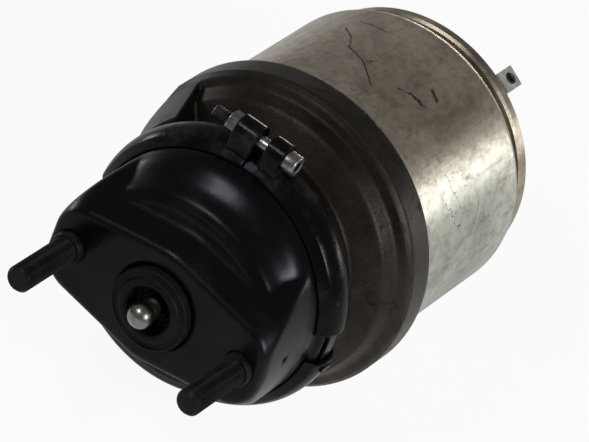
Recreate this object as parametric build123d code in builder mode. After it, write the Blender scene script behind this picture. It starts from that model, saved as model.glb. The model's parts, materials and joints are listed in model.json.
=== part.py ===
"""Spring brake chamber: a diaphragm service chamber and a piston spring chamber on one intermediate housing.

The chamber axis lies along Y. The mounting face is at Y = 0, the studs and the push rod point to -Y, and
the spring chamber lies behind at +Y. A "station" is a distance behind the mounting face, and an azimuth is
an angle about the axis from +X towards +Z. Outlines are (radius, station) points turned about the axis.
"""

from build123d import *
import os
from math import acos, atan, atan2, cos, degrees, pi, radians, sin, sqrt

os.makedirs("parts", exist_ok=True)

# ---------------------------------------------------------------- clearances
slip = 0.05  # radial gap of a running fit
seat = 0.02  # radial gap of a ring in its pocket
gap = 0.3  # gap between neighbours that only lie close

# ---------------------------------------------------------------- mounting studs
stud_spacing = 120.65
stud_r = 8.0
stud_reach = 50.5
stud_chamfer = 1.6
stud_shank_r = 8.3  # the plain shank pressed into the pad
stud_head_r = 10.5
stud_head_height = 5.0

# ---------------------------------------------------------------- service housing
bowl_r = 76.0
steel = 3.0
ledge_depth = 19.0
ledge_edge_r = 5.0
shoulder_slope = 0.865  # how far each side of the bowl steps in for each mm forwards
shoulder_r = 22.0  # bend from the straight wall into that slope
pad_mid_r = 36.8
pad_corner_r = 20.0
pad_corner_x = bowl_r - 23.0
pad_corner_z = 7.5
pad_lean = 24.0  # of the pad's side wall, in degrees
pad_edge_r = 4.0
pad_end_edge_r = 6.0
pad_root = 4.0  # how far the pad's form runs on inside the straight wall
pad_inset_r = 0.5  # the pad's ends stand this far inside the bowl's wall
stud_plate_thickness = 5.0
stud_plate_end_r = 9.4
drain_azimuth = 4.6
drain_station = 23.0
drain_r = 2.0

# ---------------------------------------------------------------- bolted joint of the service chamber
joint_station = 63.0  # where the housing's lip meets the diaphragm's bead
bead = 4.5
lip_rise = 3.6  # of each lip above the bowl
lip_r = bowl_r + lip_rise
lip_land = 6.5  # straight part of each lip
flare = 3.1  # axial length of each lip's sloped back
clamp_mid = joint_station + bead / 2
clamp_wall = 2.6
clamp_crown_r = lip_r + 5.4
clamp_knee_r = lip_r + 2.4
clamp_mouth_r = bowl_r + 0.5

lug_nut_face = -3.6  # X of the two lugs' facing sides
lug_head_face = 4.4
lug_nut_length = 14.0
lug_head_length = 11.0
lug_width = 18.0
lug_hole_r = 4.3
clamp_bolt_r = 4.0
clamp_bolt_height = 90.3  # distance of the bolt from the chamber axis
clamp_bolt_station = 62.3
clamp_bolt_head_r = 6.5
clamp_bolt_head_height = 8.0
clamp_socket_af = 6.0
clamp_socket_depth = 4.5
clamp_nut_af = 13.0
clamp_nut_height = 6.8
clamp_thread_out = 11.0

hinge_gap = 7.5  # half of the opening at a hooked joint, in degrees
tongue_r = lip_r + 0.5
tongue_wall = 1.4
tongue_width = 9.0
tooth_start = 9.6  # degrees past the middle of the joint
tooth_width = 1.6
tooth_r = clamp_crown_r + 1.0

# ---------------------------------------------------------------- intermediate housing
web_front = 82.8
web_rear = 93.5
neck_r = 70.2
ridge_r = 86.0
ridge_station = 104.0
band_r = 97.3
band_front = 118.5
band_rear = 136.3
pocket_mouth_r = 71.5
pocket_floor_r = 62.0
front_pocket_r = 61.2
hub_r = 28.0
hub_rear = 112.0
hub_bore_r = 17.5
hub_bush_r = 20.5
hub_bush_length = 13.0
hub_seal_r = 21.5
hub_seal_length = 4.0
hub_seal_stations = (85.5, 92.0)

shelf_start, shelf_end = 140.0, 235.0  # azimuths of the filled sector that carries the ports
shelf_front = 84.0
shelf_front_r = 84.5
shelf_rear = 115.5
shelf_rear_r = 95.0
side_flat_azimuth = 168.5
side_flat_r = 92.9
port_azimuth = 205.0
port_station = 97.0
port_boss_r = 90.0
port_boss_width = 60.0
port_boss_rear = 113.0
port_pitch = 32.0
port_r = 7.3
port_depth = 12.0
port_drilling_r = 3.0
port_slant = 21.0  # reach of the slanted drilling, both forwards and inwards

# ---------------------------------------------------------------- spring chamber
bore_r = 86.0
cylinder_wall = 3.0
cylinder_front = 118.0
cylinder_rear = 252.0
cylinder_end = 4.0
cylinder_roll_r = 6.0
cylinder_seal_station = 124.5
cylinder_seal_wire = 1.5
retaining_wire_station = 131.0
retaining_wire_r = 1.3

cover_flange_front = 240.0
cover_shoulder = 6.1
cover_neck_r = bore_r - cover_shoulder
cover_neck_wall = 6.4
cover_bore_r = cover_neck_r - cover_neck_wall
cover_floor = 263.0
cover_rear = 271.0
cover_seat_r = cover_neck_r - 2.4
cover_boss_r = 22.0
cover_boss_rear = 276.0
cover_seal_wire = 1.8
rim_width = 5.5
rim_r = cover_seat_r + rim_width
rim_front = 262.0

stroke = 56.0
tube_r = 17.0
tube_bore_r = 13.0
tube_front = 88.0
nose_spigot = 6.0
piston_face = 150.0
piston_wall = 7.0
piston_face_r = 57.0
piston_recess_r = 29.5
piston_recess_wall = 5.5
piston_hub_front = 172.0
piston_hub_wall = 8.0
tube_socket = 3.0
piston_land_front = 175.0
piston_land_rear = 193.0
piston_land_gap = 0.6
piston_skirt_r = 79.0
piston_seal_front = 178.0
piston_seal_length = 5.5
piston_seal_depth = 4.6
piston_guide_front = 187.0
piston_guide_length = 3.5
piston_guide_depth = 2.2

# ---------------------------------------------------------------- push rod, plate and diaphragm
ball_station = -12.0
ball_r = 7.75
rod_neck_r = 5.2
rod_r = 6.5
push_plate_r = 42.0
push_plate_front = 76.0
push_plate_thickness = 3.0
plate_hub_length = 9.0
plate_hub_r = 10.5
plate_hub_foot_r = 13.5
diaphragm_wall = 3.1

# ---------------------------------------------------------------- dust boot
boot_r = 25.3
boot_face = -6.2
boot_mouth_r = 14.4
boot_wall = 2.2
boot_bite = 4.0
boot_hole_r = boot_r + gap
boot_floor = 6.0

# ---------------------------------------------------------------- springs
power_wire_r = 6.0
power_spring_r = 51.0
power_turns = 7.0
return_wire_r = 1.6
return_front_r = 31.4
return_rear_r = 16.0
return_turns = 4.0

# ---------------------------------------------------------------- release bolt
release_r = 8.0
release_head_af = 24.0
release_head_height = 10.0
release_hole_r = 9.0
release_rear = 350.0
release_collar_r = 12.5
release_collar_length = 7.5
release_pin_r = 2.0
insert_r = 13.0
insert_flange_r = 17.0
insert_flange = 3.0

# ---------------------------------------------------------------- rear bracket
bracket_azimuth = 60.0
bracket_wall = 2.0
bracket_width = 13.0
bracket_foot_r = 58.0
bracket_reach = 15.0
bracket_r = rim_r - 0.5
bracket_hole_r = 3.65
bracket_hole_reach = 8.5
bracket_screw_r = 3.0
bracket_screw_seat_r = 66.0
bracket_screw_depth = 6.0
bracket_screw_head_af = 10.0
bracket_screw_head = 4.0


# ---------------------------------------------------------------- helpers
def station(distance):
    """The plane across the chamber axis at a station: its X is X, its Y is Z, and it faces -Y."""
    return Plane.XZ.offset(-distance)


def outline(*points):
    """A closed outline of (radius, station) points, ready to turn about the chamber axis."""
    with BuildSketch(Plane.XY, mode=Mode.PRIVATE) as shape:
        with BuildLine():
            Polyline(*points, close=True)
        make_face()
    return shape.sketch


def ring(inner, outer, front, rear):
    """The outline of a plain ring."""
    return outline((inner, front), (outer, front), (outer, rear), (inner, rear))


def radial(azimuth, distance, at_station):
    """The plane that faces outwards at an azimuth: its X is tangential and its Y runs along the chamber."""
    out = (cos(radians(azimuth)), 0, sin(radians(azimuth)))
    along = (0, 1, 0)
    across = Vector(*along).cross(Vector(*out))
    origin = (distance * out[0], at_station, distance * out[2])
    return Plane(origin=origin, x_dir=across, z_dir=out)


def save(builder, node):
    """Name a finished piece and write it."""
    builder.part.label = node
    export_step(builder.part, f"parts/{node}.step")


# ---------------------------------------------------------------- service housing
def pad_outline(at_station, grow):
    """The pad: a round middle about the rod and two corners at each end, in one smooth hull."""
    with BuildSketch(station(at_station), mode=Mode.PRIVATE) as shape:
        Circle(pad_mid_r + grow)
        with GridLocations(2 * pad_corner_x, 2 * pad_corner_z, 2, 2):
            Circle(pad_corner_r + grow)
        make_hull()
    return shape.sketch


def round_pad_ends(pad, depth):
    """Round the edges where the bowl's wall cuts the pad's sloped sides."""
    walls = pad.faces().filter_by(lambda face: face.geom_type == GeomType.CYLINDER and face.area > 500)
    rims = [edge for face in walls for edge in face.edges() if edge.center().Y < depth - steel]
    fillet(rims, radius=pad_end_edge_r)


def lens_loft(sections):
    """A form whose circle of the bowl splits into two arcs that step in from both sides by (station, step)."""
    with BuildPart(mode=Mode.PRIVATE) as form:
        for at_station, wall_r, step in sections:
            corner = sqrt(wall_r**2 - step**2)
            with BuildSketch(station(at_station)):
                with BuildLine():
                    ThreePointArc((corner, 0), (0, wall_r - step), (-corner, 0))
                    ThreePointArc((-corner, 0), (0, step - wall_r), (corner, 0))
                make_face()
        loft()
    return form.part


def bowl_shoulder(inset):
    """The bowl's front: a bend from the wall, a slope, and a round edge onto the ledge, on both sides."""
    slope = atan(shoulder_slope)
    wall_r = bowl_r - inset
    bend_r, edge_r = shoulder_r - inset, ledge_edge_r - inset
    straight_front = joint_station - lip_land - flare
    bend = [slope * share / 4 for share in range(5)]
    sections = [(straight_front - bend_r * sin(turn), wall_r, bend_r * (1 - cos(turn))) for turn in bend]
    bend_front, _, bend_step = sections[-1]
    edge_middle = ledge_depth + inset + edge_r
    edge_rear = edge_middle - edge_r * sin(slope)
    edge_step = bend_step + (bend_front - edge_rear) * shoulder_slope
    sections.append(((bend_front + edge_rear) / 2, wall_r, (bend_step + edge_step) / 2))
    sections.append((edge_rear, wall_r, edge_step))
    edge = [slope + (pi / 2 - slope) * share / 4 for share in range(5)]
    rounding = [
        (edge_middle - edge_r * sin(turn), wall_r, edge_step + edge_r * (cos(slope) - cos(turn)))
        for turn in edge
    ]
    return lens_loft(sections) + lens_loft(rounding)


def bowl_form(inset):
    """The pressed bowl as a solid, with every surface moved in by inset."""
    wall_r = bowl_r - inset
    lean = radians(pad_lean)
    wall_front = joint_station - lip_land - flare
    depth = wall_front + pad_root - inset
    with BuildPart() as pad:
        extrude(
            pad_outline(inset, -inset * (1 - sin(lean)) / cos(lean)), amount=-depth, taper=-pad_lean
        )
        fillet(pad.faces().sort_by(Axis.Y)[0].edges(), radius=pad_edge_r - inset / 2)
        with BuildSketch(station(inset)):
            Circle(wall_r - pad_inset_r)
        extrude(amount=-depth, mode=Mode.INTERSECT)
        if not inset:
            round_pad_ends(pad, depth)
    with BuildPart() as form:
        add(bowl_shoulder(inset))
        add(pad.part)
        revolve(ring(0, wall_r, wall_front, joint_station), axis=Axis.Y)
    return form.part


outer_form = bowl_form(0)
inner_form = bowl_form(steel)
with BuildPart() as service_housing:
    add(outer_form)
    lip_front = joint_station - lip_land
    revolve(
        outline(
            (bowl_r - steel, lip_front - flare),
            (bowl_r, lip_front - flare),
            (lip_r, lip_front),
            (lip_r, joint_station),
            (bowl_r - steel, joint_station),
        ),
        axis=Axis.Y,
    )
    add(inner_form, mode=Mode.SUBTRACT)
    with BuildSketch(station(-pad_edge_r)):
        Circle(boot_hole_r)
        with Locations((-stud_spacing / 2, 0), (stud_spacing / 2, 0)):
            Circle(stud_shank_r + seat)
    extrude(amount=-(ledge_depth + pad_edge_r), mode=Mode.SUBTRACT)
    with BuildSketch(radial(drain_azimuth, bowl_r + steel, drain_station)):
        Circle(drain_r)
    extrude(amount=-3 * steel, mode=Mode.SUBTRACT)
save(service_housing, "service_housing")

with BuildPart() as stud_plate:
    with BuildSketch(station(steel)):
        Circle(pad_mid_r - 1.2 * steel)
        with Locations((-stud_spacing / 2, 0), (stud_spacing / 2, 0)):
            Circle(stud_plate_end_r)
        make_hull()
        Circle(boot_hole_r + boot_bite + gap, mode=Mode.SUBTRACT)
        with Locations((-stud_spacing / 2, 0), (stud_spacing / 2, 0)):
            Circle(stud_shank_r + seat, mode=Mode.SUBTRACT)
    extrude(amount=-stud_plate_thickness)
save(stud_plate, "stud_plate")

with BuildPart() as mounting_studs:
    stud_head_front = steel + stud_plate_thickness
    with BuildSketch(station(0)):
        with Locations((-stud_spacing / 2, 0), (stud_spacing / 2, 0)):
            Circle(stud_r)
    extrude(amount=stud_reach)
    chamfer(mounting_studs.faces().group_by(Axis.Y)[0].edges(), length=stud_chamfer)
    with BuildSketch(station(stud_head_front)):
        with Locations((-stud_spacing / 2, 0), (stud_spacing / 2, 0)):
            Circle(stud_shank_r)
    extrude(amount=stud_head_front)
    with BuildSketch(station(stud_head_front)):
        with Locations((-stud_spacing / 2, 0), (stud_spacing / 2, 0)):
            Circle(stud_head_r)
    extrude(amount=-stud_head_height)
save(mounting_studs, "mounting_studs")

# ---------------------------------------------------------------- dust boot
with BuildPart() as dust_boot:
    inner_r = rod_r + slip
    floor = boot_floor + boot_wall
    revolve(
        outline(
            (boot_mouth_r, boot_face + 1.2),
            (boot_mouth_r + 1.2, boot_face),
            (boot_r - 5.5, boot_face),
            (boot_r - 4.5, boot_face + 1.0),
            (boot_r - 3.0, boot_face + 1.0),
            (boot_r - 2.2, boot_face + 0.2),
            (boot_r, boot_face + 1.6),
            (boot_r, steel),
            (boot_hole_r + boot_bite, steel),
            (boot_hole_r + boot_bite, steel + boot_wall),
            (boot_mouth_r + boot_wall, steel + boot_wall),
            (boot_mouth_r + boot_wall, floor),
            (inner_r + boot_wall, floor),
            (inner_r + boot_wall, floor + 2),
            (inner_r, floor + 2),
            (inner_r, boot_floor - 2),
            (inner_r + boot_wall, boot_floor),
            (boot_mouth_r, boot_floor),
        ),
        axis=Axis.Y,
    )
save(dust_boot, "dust_boot")

# ---------------------------------------------------------------- push rod and plate
with BuildPart() as push_rod:
    neck_front = ball_station + sqrt(ball_r**2 - rod_neck_r**2)
    with BuildSketch(Plane.XY):
        with BuildLine():
            ThreePointArc((0, ball_station - ball_r), (ball_r, ball_station), (rod_neck_r, neck_front))
            Polyline(
                (rod_neck_r, neck_front),
                (rod_neck_r, neck_front + 3),
                (rod_r, neck_front + 5),
                (rod_r, push_plate_front),
                (0, push_plate_front),
                (0, ball_station - ball_r),
            )
        make_face()
    revolve(axis=Axis.Y)
save(push_rod, "push_rod")

with BuildPart() as push_plate:
    plate_rear = push_plate_front + push_plate_thickness
    revolve(
        outline(
            (0, push_plate_front),
            (rod_r + seat, push_plate_front),
            (rod_r + seat, push_plate_front - plate_hub_length),
            (plate_hub_r, push_plate_front - plate_hub_length),
            (plate_hub_foot_r, push_plate_front),
            (push_plate_r - 2, push_plate_front),
            (push_plate_r, push_plate_front + 1),
            (push_plate_r, plate_rear),
            (0, plate_rear),
        ),
        axis=Axis.Y,
    )
save(push_plate, "push_plate")

# ---------------------------------------------------------------- diaphragm
with BuildPart() as diaphragm:
    bead_rear = joint_station + bead
    rear_face = web_front - gap
    front_face = rear_face - diaphragm_wall
    fold_r = 71.0
    floor_r = front_pocket_r - 1.0
    revolve(
        outline(
            (0, front_face),
            (floor_r - 2, front_face),
            (fold_r - 2, joint_station + 1),
            (fold_r - 1, joint_station),
            (lip_r - seat, joint_station),
            (lip_r - seat, bead_rear),
            (fold_r - 0.3, bead_rear),
            (floor_r, rear_face),
            (0, rear_face),
        ),
        axis=Axis.Y,
    )
save(diaphragm, "diaphragm")


# ---------------------------------------------------------------- springs
def coil(wide_end, narrow_end, wide_r, narrow_r, turns, wire_r):
    """A round-wire compression spring between two stations, straight or conical."""
    way = 1 if wide_end > narrow_end else -1
    height = abs(wide_end - narrow_end) - 2 * wire_r
    rise = wide_r - narrow_r
    with BuildPart() as spring:
        with BuildLine() as path:
            Helix(
                pitch=height / turns,
                height=height,
                radius=narrow_r,
                center=(0, narrow_end + way * wire_r, 0),
                direction=(0, way, 0),
                cone_angle=degrees(atan2(rise, height)),
            )
        with BuildSketch(Plane(origin=path.line @ 0, z_dir=path.line % 0)):
            Circle(wire_r)
        sweep(path=path.line, is_frenet=True)
    return spring


return_front = steel + stud_plate_thickness + gap
return_rear = push_plate_front - gap
return_spring = coil(
    return_front, return_rear, return_front_r, return_rear_r, return_turns, return_wire_r
)
save(return_spring, "return_spring")

power_front = piston_face + piston_wall + gap
power_rear = cover_floor - gap
power_spring = coil(
    power_front, power_rear, power_spring_r, power_spring_r, power_turns, power_wire_r
)
save(power_spring, "power_spring")


# ---------------------------------------------------------------- clamp ring
flare_slope = flare / (lip_r - bowl_r)


def leg_half(radius):
    """Half the opening between the clamp's two legs at a radius: they lie on the lips' sloped backs."""
    return bead / 2 + lip_land + flare - (radius - bowl_r) * flare_slope + seat


def clamp_section():
    """The V section of the clamp: two sloped legs and a rounded crown."""
    leg = clamp_wall * sqrt(1 + flare_slope**2)
    inner_knee_r = clamp_knee_r - 0.7 * clamp_wall
    mouth_in, mouth_out = leg_half(clamp_mouth_r), leg_half(clamp_mouth_r) + leg
    knee_in, knee_out = leg_half(inner_knee_r), leg_half(clamp_knee_r) + leg
    with BuildSketch(Plane.XY, mode=Mode.PRIVATE) as shape:
        with BuildLine():
            Polyline(
                (clamp_mouth_r, clamp_mid - mouth_in),
                (clamp_mouth_r, clamp_mid - mouth_out),
                (clamp_knee_r, clamp_mid - knee_out),
            )
            ThreePointArc(
                (clamp_knee_r, clamp_mid - knee_out),
                (clamp_crown_r, clamp_mid),
                (clamp_knee_r, clamp_mid + knee_out),
            )
            Polyline(
                (clamp_knee_r, clamp_mid + knee_out),
                (clamp_mouth_r, clamp_mid + mouth_out),
                (clamp_mouth_r, clamp_mid + mouth_in),
                (inner_knee_r, clamp_mid + knee_in),
            )
            ThreePointArc(
                (inner_knee_r, clamp_mid + knee_in),
                (clamp_crown_r - clamp_wall, clamp_mid),
                (inner_knee_r, clamp_mid - knee_in),
            )
            Line((inner_knee_r, clamp_mid - knee_in), (clamp_mouth_r, clamp_mid - mouth_in))
        make_face()
    return shape.sketch


def turned(shape, start, end):
    """An outline turned about the chamber axis from one azimuth to another."""
    with BuildPart(mode=Mode.PRIVATE) as swept:
        revolve(shape, axis=Axis.Y, revolution_arc=end - start)
    return swept.part.rotate(Axis.Y, -end)


def band(inner, outer, width):
    """The outline of a strip that runs round under or over the clamp's crown."""
    return ring(inner, outer, clamp_mid - width / 2, clamp_mid + width / 2)


def tongue(middle, side):
    """The hook of one segment: a strip that runs under the next segment's end and a tooth that stands up."""
    root, tip = sorted((middle + side * (hinge_gap + 3), middle - side * (tooth_start + tooth_width)))
    add(turned(band(tongue_r, tongue_r + tongue_wall, tongue_width), root, tip))
    low, high = sorted((middle + side * hinge_gap, middle + side * (hinge_gap + 3)))
    add(turned(band(tongue_r, clamp_crown_r - clamp_wall / 2, tongue_width), low, high))
    low, high = sorted((middle - side * tooth_start, middle - side * (tooth_start + tooth_width)))
    add(turned(band(tongue_r, tooth_r, tongue_width), low, high))


def hook_slot(middle, side):
    """The slot in the base segment that takes the tooth of the segment on the given side."""
    play = 0.4
    start = middle - side * (tooth_start - play)
    end = middle - side * (tooth_start + tooth_width + play)
    low, high = sorted((start, end))
    add(turned(band(tongue_r, tooth_r, tongue_width + 1), low, high), mode=Mode.SUBTRACT)


def lug(face, length):
    """The upright ear that the clamp bolt passes through, with a rounded top, standing on the crown."""
    foot = lip_r + 1
    with BuildSketch(Plane.YZ.offset(face)) as ear:
        with Locations((clamp_bolt_station, clamp_bolt_height)):
            Circle(lug_width / 2)
        with Locations((clamp_bolt_station, (clamp_bolt_height + foot) / 2)):
            Rectangle(lug_width, clamp_bolt_height - foot)
        with Locations((clamp_bolt_station, clamp_bolt_height)):
            Circle(lug_hole_r, mode=Mode.SUBTRACT)
    extrude(ear.sketch, amount=length)


nut_side_start = degrees(acos((lug_nut_face - 1) / clamp_crown_r))
head_side_end = degrees(acos((lug_head_face + 1) / clamp_crown_r))

with BuildPart() as clamp_segment_base:
    add(turned(clamp_section(), 180 + hinge_gap, 360 - hinge_gap))
    hook_slot(360, 1)
    hook_slot(180, -1)
save(clamp_segment_base, "clamp_segment_base")

with BuildPart() as clamp_segment_head_side:
    add(turned(clamp_section(), hinge_gap, head_side_end))
    lug(lug_head_face, lug_head_length)
    tongue(0, 1)
save(clamp_segment_head_side, "clamp_segment_head_side")

with BuildPart() as clamp_segment_nut_side:
    add(turned(clamp_section(), nut_side_start, 180 - hinge_gap))
    lug(lug_nut_face - lug_nut_length, lug_nut_length)
    tongue(180, -1)
save(clamp_segment_nut_side, "clamp_segment_nut_side")


def across_x(face):
    """The plane across the clamp bolt at an X, centred on the bolt: it faces +X."""
    return Plane(origin=(face, clamp_bolt_station, clamp_bolt_height), x_dir=(0, 1, 0), z_dir=(1, 0, 0))


with BuildPart() as clamp_bolt:
    head_face = lug_head_face + lug_head_length
    nut_face = lug_nut_face - lug_nut_length
    thread_end = nut_face - clamp_nut_height - clamp_thread_out
    with BuildSketch(across_x(head_face)):
        Circle(clamp_bolt_r)
    extrude(amount=thread_end - head_face)
    chamfer(clamp_bolt.faces().sort_by(Axis.X)[0].edges(), length=1)
    with BuildSketch(across_x(head_face)):
        Circle(clamp_bolt_head_r)
    extrude(amount=clamp_bolt_head_height)
    chamfer(clamp_bolt.faces().sort_by(Axis.X)[-1].edges(), length=0.7)
    with BuildSketch(across_x(head_face + clamp_bolt_head_height)):
        RegularPolygon(radius=clamp_socket_af / 2, side_count=6, major_radius=False)
    extrude(amount=-clamp_socket_depth, mode=Mode.SUBTRACT)
save(clamp_bolt, "clamp_bolt")


with BuildPart() as clamp_nut:
    with BuildSketch(across_x(nut_face)):
        RegularPolygon(radius=clamp_nut_af / 2, side_count=6, major_radius=False)
        Circle(clamp_bolt_r + slip, mode=Mode.SUBTRACT)
    extrude(amount=-clamp_nut_height)
save(clamp_nut, "clamp_nut")

# ---------------------------------------------------------------- intermediate housing
housing_face = joint_station + bead


def casting_outline():
    """The outside of the intermediate casting: the clamped lip, the neck, the ridge and the wide band."""
    lip_rear = housing_face + lip_land
    return outline(
        (0, housing_face),
        (lip_r, housing_face),
        (lip_r, lip_rear),
        (bowl_r, lip_rear + flare),
        (neck_r, web_front + 1),
        (neck_r, web_rear),
        (ridge_r - 2, ridge_station - 1.5),
        (ridge_r, ridge_station),
        (ridge_r + 1, ridge_station + 2),
        (ridge_r + 4, ridge_station + 8),
        (band_r - 2.3, band_front - 3.5),
        (band_r - 0.7, band_front - 1),
        (band_r, band_front),
        (band_r, band_rear - 1),
        (band_r - 1, band_rear),
        (0, band_rear),
    )


def cavity_outline():
    """The spring side's cavity: the hub stands in the middle of it, the cylinder enters its mouth."""
    mouth = bore_r + cylinder_wall + slip
    return outline(
        (hub_r, web_rear),
        (pocket_floor_r, web_rear),
        (bore_r - 7, ridge_station + 2),
        (bore_r - 2, cylinder_front - 4),
        (bore_r - 1, cylinder_front),
        (mouth, cylinder_front),
        (mouth, band_rear),
        (0, band_rear),
        (0, hub_rear),
        (hub_r - 1, hub_rear),
        (hub_r, hub_rear - 1),
    )


def port_plane(across):
    """The plane of the ports' face, moved sideways to one port."""
    return radial(port_azimuth, port_boss_r, port_station).shift_origin(
        radial(port_azimuth, port_boss_r, port_station).from_local_coords((across, 0, 0))
    )


def cut_flat(azimuth, distance, width, front, rear):
    """Take off what stands beyond a flat that faces outwards, between two stations."""
    with BuildSketch(radial(azimuth, distance, (front + rear) / 2)) as face:
        Rectangle(width, rear - front)
    extrude(face.sketch, amount=band_r, mode=Mode.SUBTRACT)


with BuildPart() as intermediate_housing:
    revolve(casting_outline(), axis=Axis.Y)
    shelf = outline(
        (neck_r - steel, shelf_front),
        (shelf_front_r, shelf_front),
        (shelf_rear_r, shelf_rear),
        (neck_r - steel, shelf_rear),
    )
    add(turned(shelf, shelf_start, shelf_end))
    cut_flat(side_flat_azimuth, side_flat_r, 2 * band_r, shelf_front - 1, band_rear + 1)
    cut_flat(port_azimuth, port_boss_r, port_boss_width, shelf_front - 1, port_boss_rear)
    revolve(cavity_outline(), axis=Axis.Y, mode=Mode.SUBTRACT)
    revolve(
        outline(
            (0, housing_face),
            (pocket_mouth_r, housing_face),
            (front_pocket_r, web_front),
            (0, web_front),
        ),
        axis=Axis.Y,
        mode=Mode.SUBTRACT,
    )
    revolve(ring(0, hub_bore_r, web_front, hub_rear), axis=Axis.Y, mode=Mode.SUBTRACT)
    revolve(ring(0, hub_bush_r, hub_rear - hub_bush_length, hub_rear), axis=Axis.Y, mode=Mode.SUBTRACT)
    for front in hub_seal_stations:
        revolve(ring(0, hub_seal_r, front, front + hub_seal_length), axis=Axis.Y, mode=Mode.SUBTRACT)
    seal_r = bore_r + cylinder_wall + slip + 2 * cylinder_seal_wire
    seal_half = cylinder_seal_wire + gap
    revolve(
        ring(bore_r, seal_r, cylinder_seal_station - seal_half, cylinder_seal_station + seal_half),
        axis=Axis.Y,
        mode=Mode.SUBTRACT,
    )
    wire_half = retaining_wire_r + slip
    revolve(
        ring(
            bore_r,
            bore_r + cylinder_wall + wire_half,
            retaining_wire_station - wire_half,
            retaining_wire_station + wire_half,
        ),
        axis=Axis.Y,
        mode=Mode.SUBTRACT,
    )
    for across in (-port_pitch / 2, port_pitch / 2):
        with BuildSketch(port_plane(across)):
            Circle(port_r)
        extrude(amount=-port_depth, mode=Mode.SUBTRACT)
    spring_port, service_port = port_plane(-port_pitch / 2), port_plane(port_pitch / 2)
    with BuildSketch(spring_port.offset(-port_depth + 1)):
        Circle(port_drilling_r)
    extrude(amount=-(port_boss_r - port_depth - pocket_floor_r + 4), mode=Mode.SUBTRACT)
    slant_start = service_port.from_local_coords((0, 0, -port_depth + 1))
    slant_end = service_port.from_local_coords((0, -port_slant, -port_depth - port_slant))
    with BuildSketch(Plane(origin=slant_start, z_dir=slant_end - slant_start)):
        Circle(port_drilling_r)
    extrude(amount=(slant_end - slant_start).length, mode=Mode.SUBTRACT)
save(intermediate_housing, "intermediate_housing")

with BuildPart() as hub_bush:
    revolve(ring(tube_r + slip, hub_bush_r - seat, hub_rear - hub_bush_length, hub_rear - 0.5), axis=Axis.Y)
save(hub_bush, "hub_bush")

with BuildPart() as hub_seals:
    for front in hub_seal_stations:
        revolve(
            ring(tube_r + slip, hub_seal_r - seat, front + seat, front + hub_seal_length - seat),
            axis=Axis.Y,
        )
save(hub_seals, "hub_seals")


def torus(major, minor, at_station):
    """A round-section ring about the chamber axis."""
    with BuildSketch(Plane.XY) as section:
        with Locations((major, at_station)):
            Circle(minor)
    revolve(section.sketch, axis=Axis.Y)


with BuildPart() as cylinder_seal:
    seal_middle_r = bore_r + cylinder_wall + slip + cylinder_seal_wire
    torus(seal_middle_r, cylinder_seal_wire - seat, cylinder_seal_station)
save(cylinder_seal, "cylinder_seal")

with BuildPart() as retaining_wire:
    torus(bore_r + cylinder_wall, retaining_wire_r, retaining_wire_station)
save(retaining_wire, "retaining_wire")

# ---------------------------------------------------------------- spring cylinder and rear cover
with BuildPart() as spring_cylinder:
    outer_r = bore_r + cylinder_wall
    revolve(ring(0, outer_r, cylinder_front, cylinder_rear), axis=Axis.Y)
    fillet(spring_cylinder.edges().group_by(Axis.Y)[-1], radius=cylinder_roll_r)
    inner_rear = cylinder_rear - cylinder_end
    revolve(ring(0, bore_r, cylinder_front, inner_rear), axis=Axis.Y, mode=Mode.SUBTRACT)
    revolve(ring(0, cover_neck_r + slip, inner_rear, cylinder_rear), axis=Axis.Y, mode=Mode.SUBTRACT)
    revolve(
        ring(
            outer_r - wire_half,
            outer_r + 1,
            retaining_wire_station - wire_half,
            retaining_wire_station + wire_half,
        ),
        axis=Axis.Y,
        mode=Mode.SUBTRACT,
    )
save(spring_cylinder, "spring_cylinder")

with BuildPart() as rear_cover:
    flange_r = bore_r - slip
    seal_bed_r = flange_r - 2 * cover_seal_wire
    seal_front = inner_rear - 2 * cover_seal_wire - slip
    revolve(
        outline(
            (0, cover_floor),
            (cover_bore_r, cover_floor),
            (cover_bore_r, cover_flange_front),
            (flange_r, cover_flange_front),
            (flange_r, seal_front),
            (seal_bed_r, seal_front),
            (seal_bed_r, inner_rear),
            (cover_neck_r, inner_rear),
            (cover_neck_r, rim_front),
            (cover_seat_r, rim_front),
            (cover_seat_r, cover_rear),
            (cover_boss_r, cover_rear),
            (cover_boss_r, cover_boss_rear),
            (0, cover_boss_rear),
        ),
        axis=Axis.Y,
    )
    revolve(ring(0, insert_r + seat, cover_floor, cover_boss_rear), axis=Axis.Y, mode=Mode.SUBTRACT)
    screw_spot = radial(bracket_azimuth, bracket_screw_seat_r, cover_rear).origin
    with BuildSketch(station(cover_rear)):
        with Locations((screw_spot.X, screw_spot.Z)):
            Circle(bracket_screw_r + slip)
    extrude(amount=bracket_screw_depth + gap, mode=Mode.SUBTRACT)
save(rear_cover, "rear_cover")

with BuildPart() as cover_seal:
    torus(seal_bed_r + cover_seal_wire, cover_seal_wire - seat, inner_rear - cover_seal_wire)
save(cover_seal, "cover_seal")

with BuildPart() as rear_ring:
    revolve(
        outline(
            (cover_seat_r + seat, rim_front),
            (rim_r - 1.5, rim_front),
            (rim_r, rim_front + 1.5),
            (rim_r, cover_rear - 2.5),
            (rim_r - 2.5, cover_rear),
            (cover_seat_r + seat, cover_rear),
        ),
        axis=Axis.Y,
    )
save(rear_ring, "rear_ring")

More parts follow.
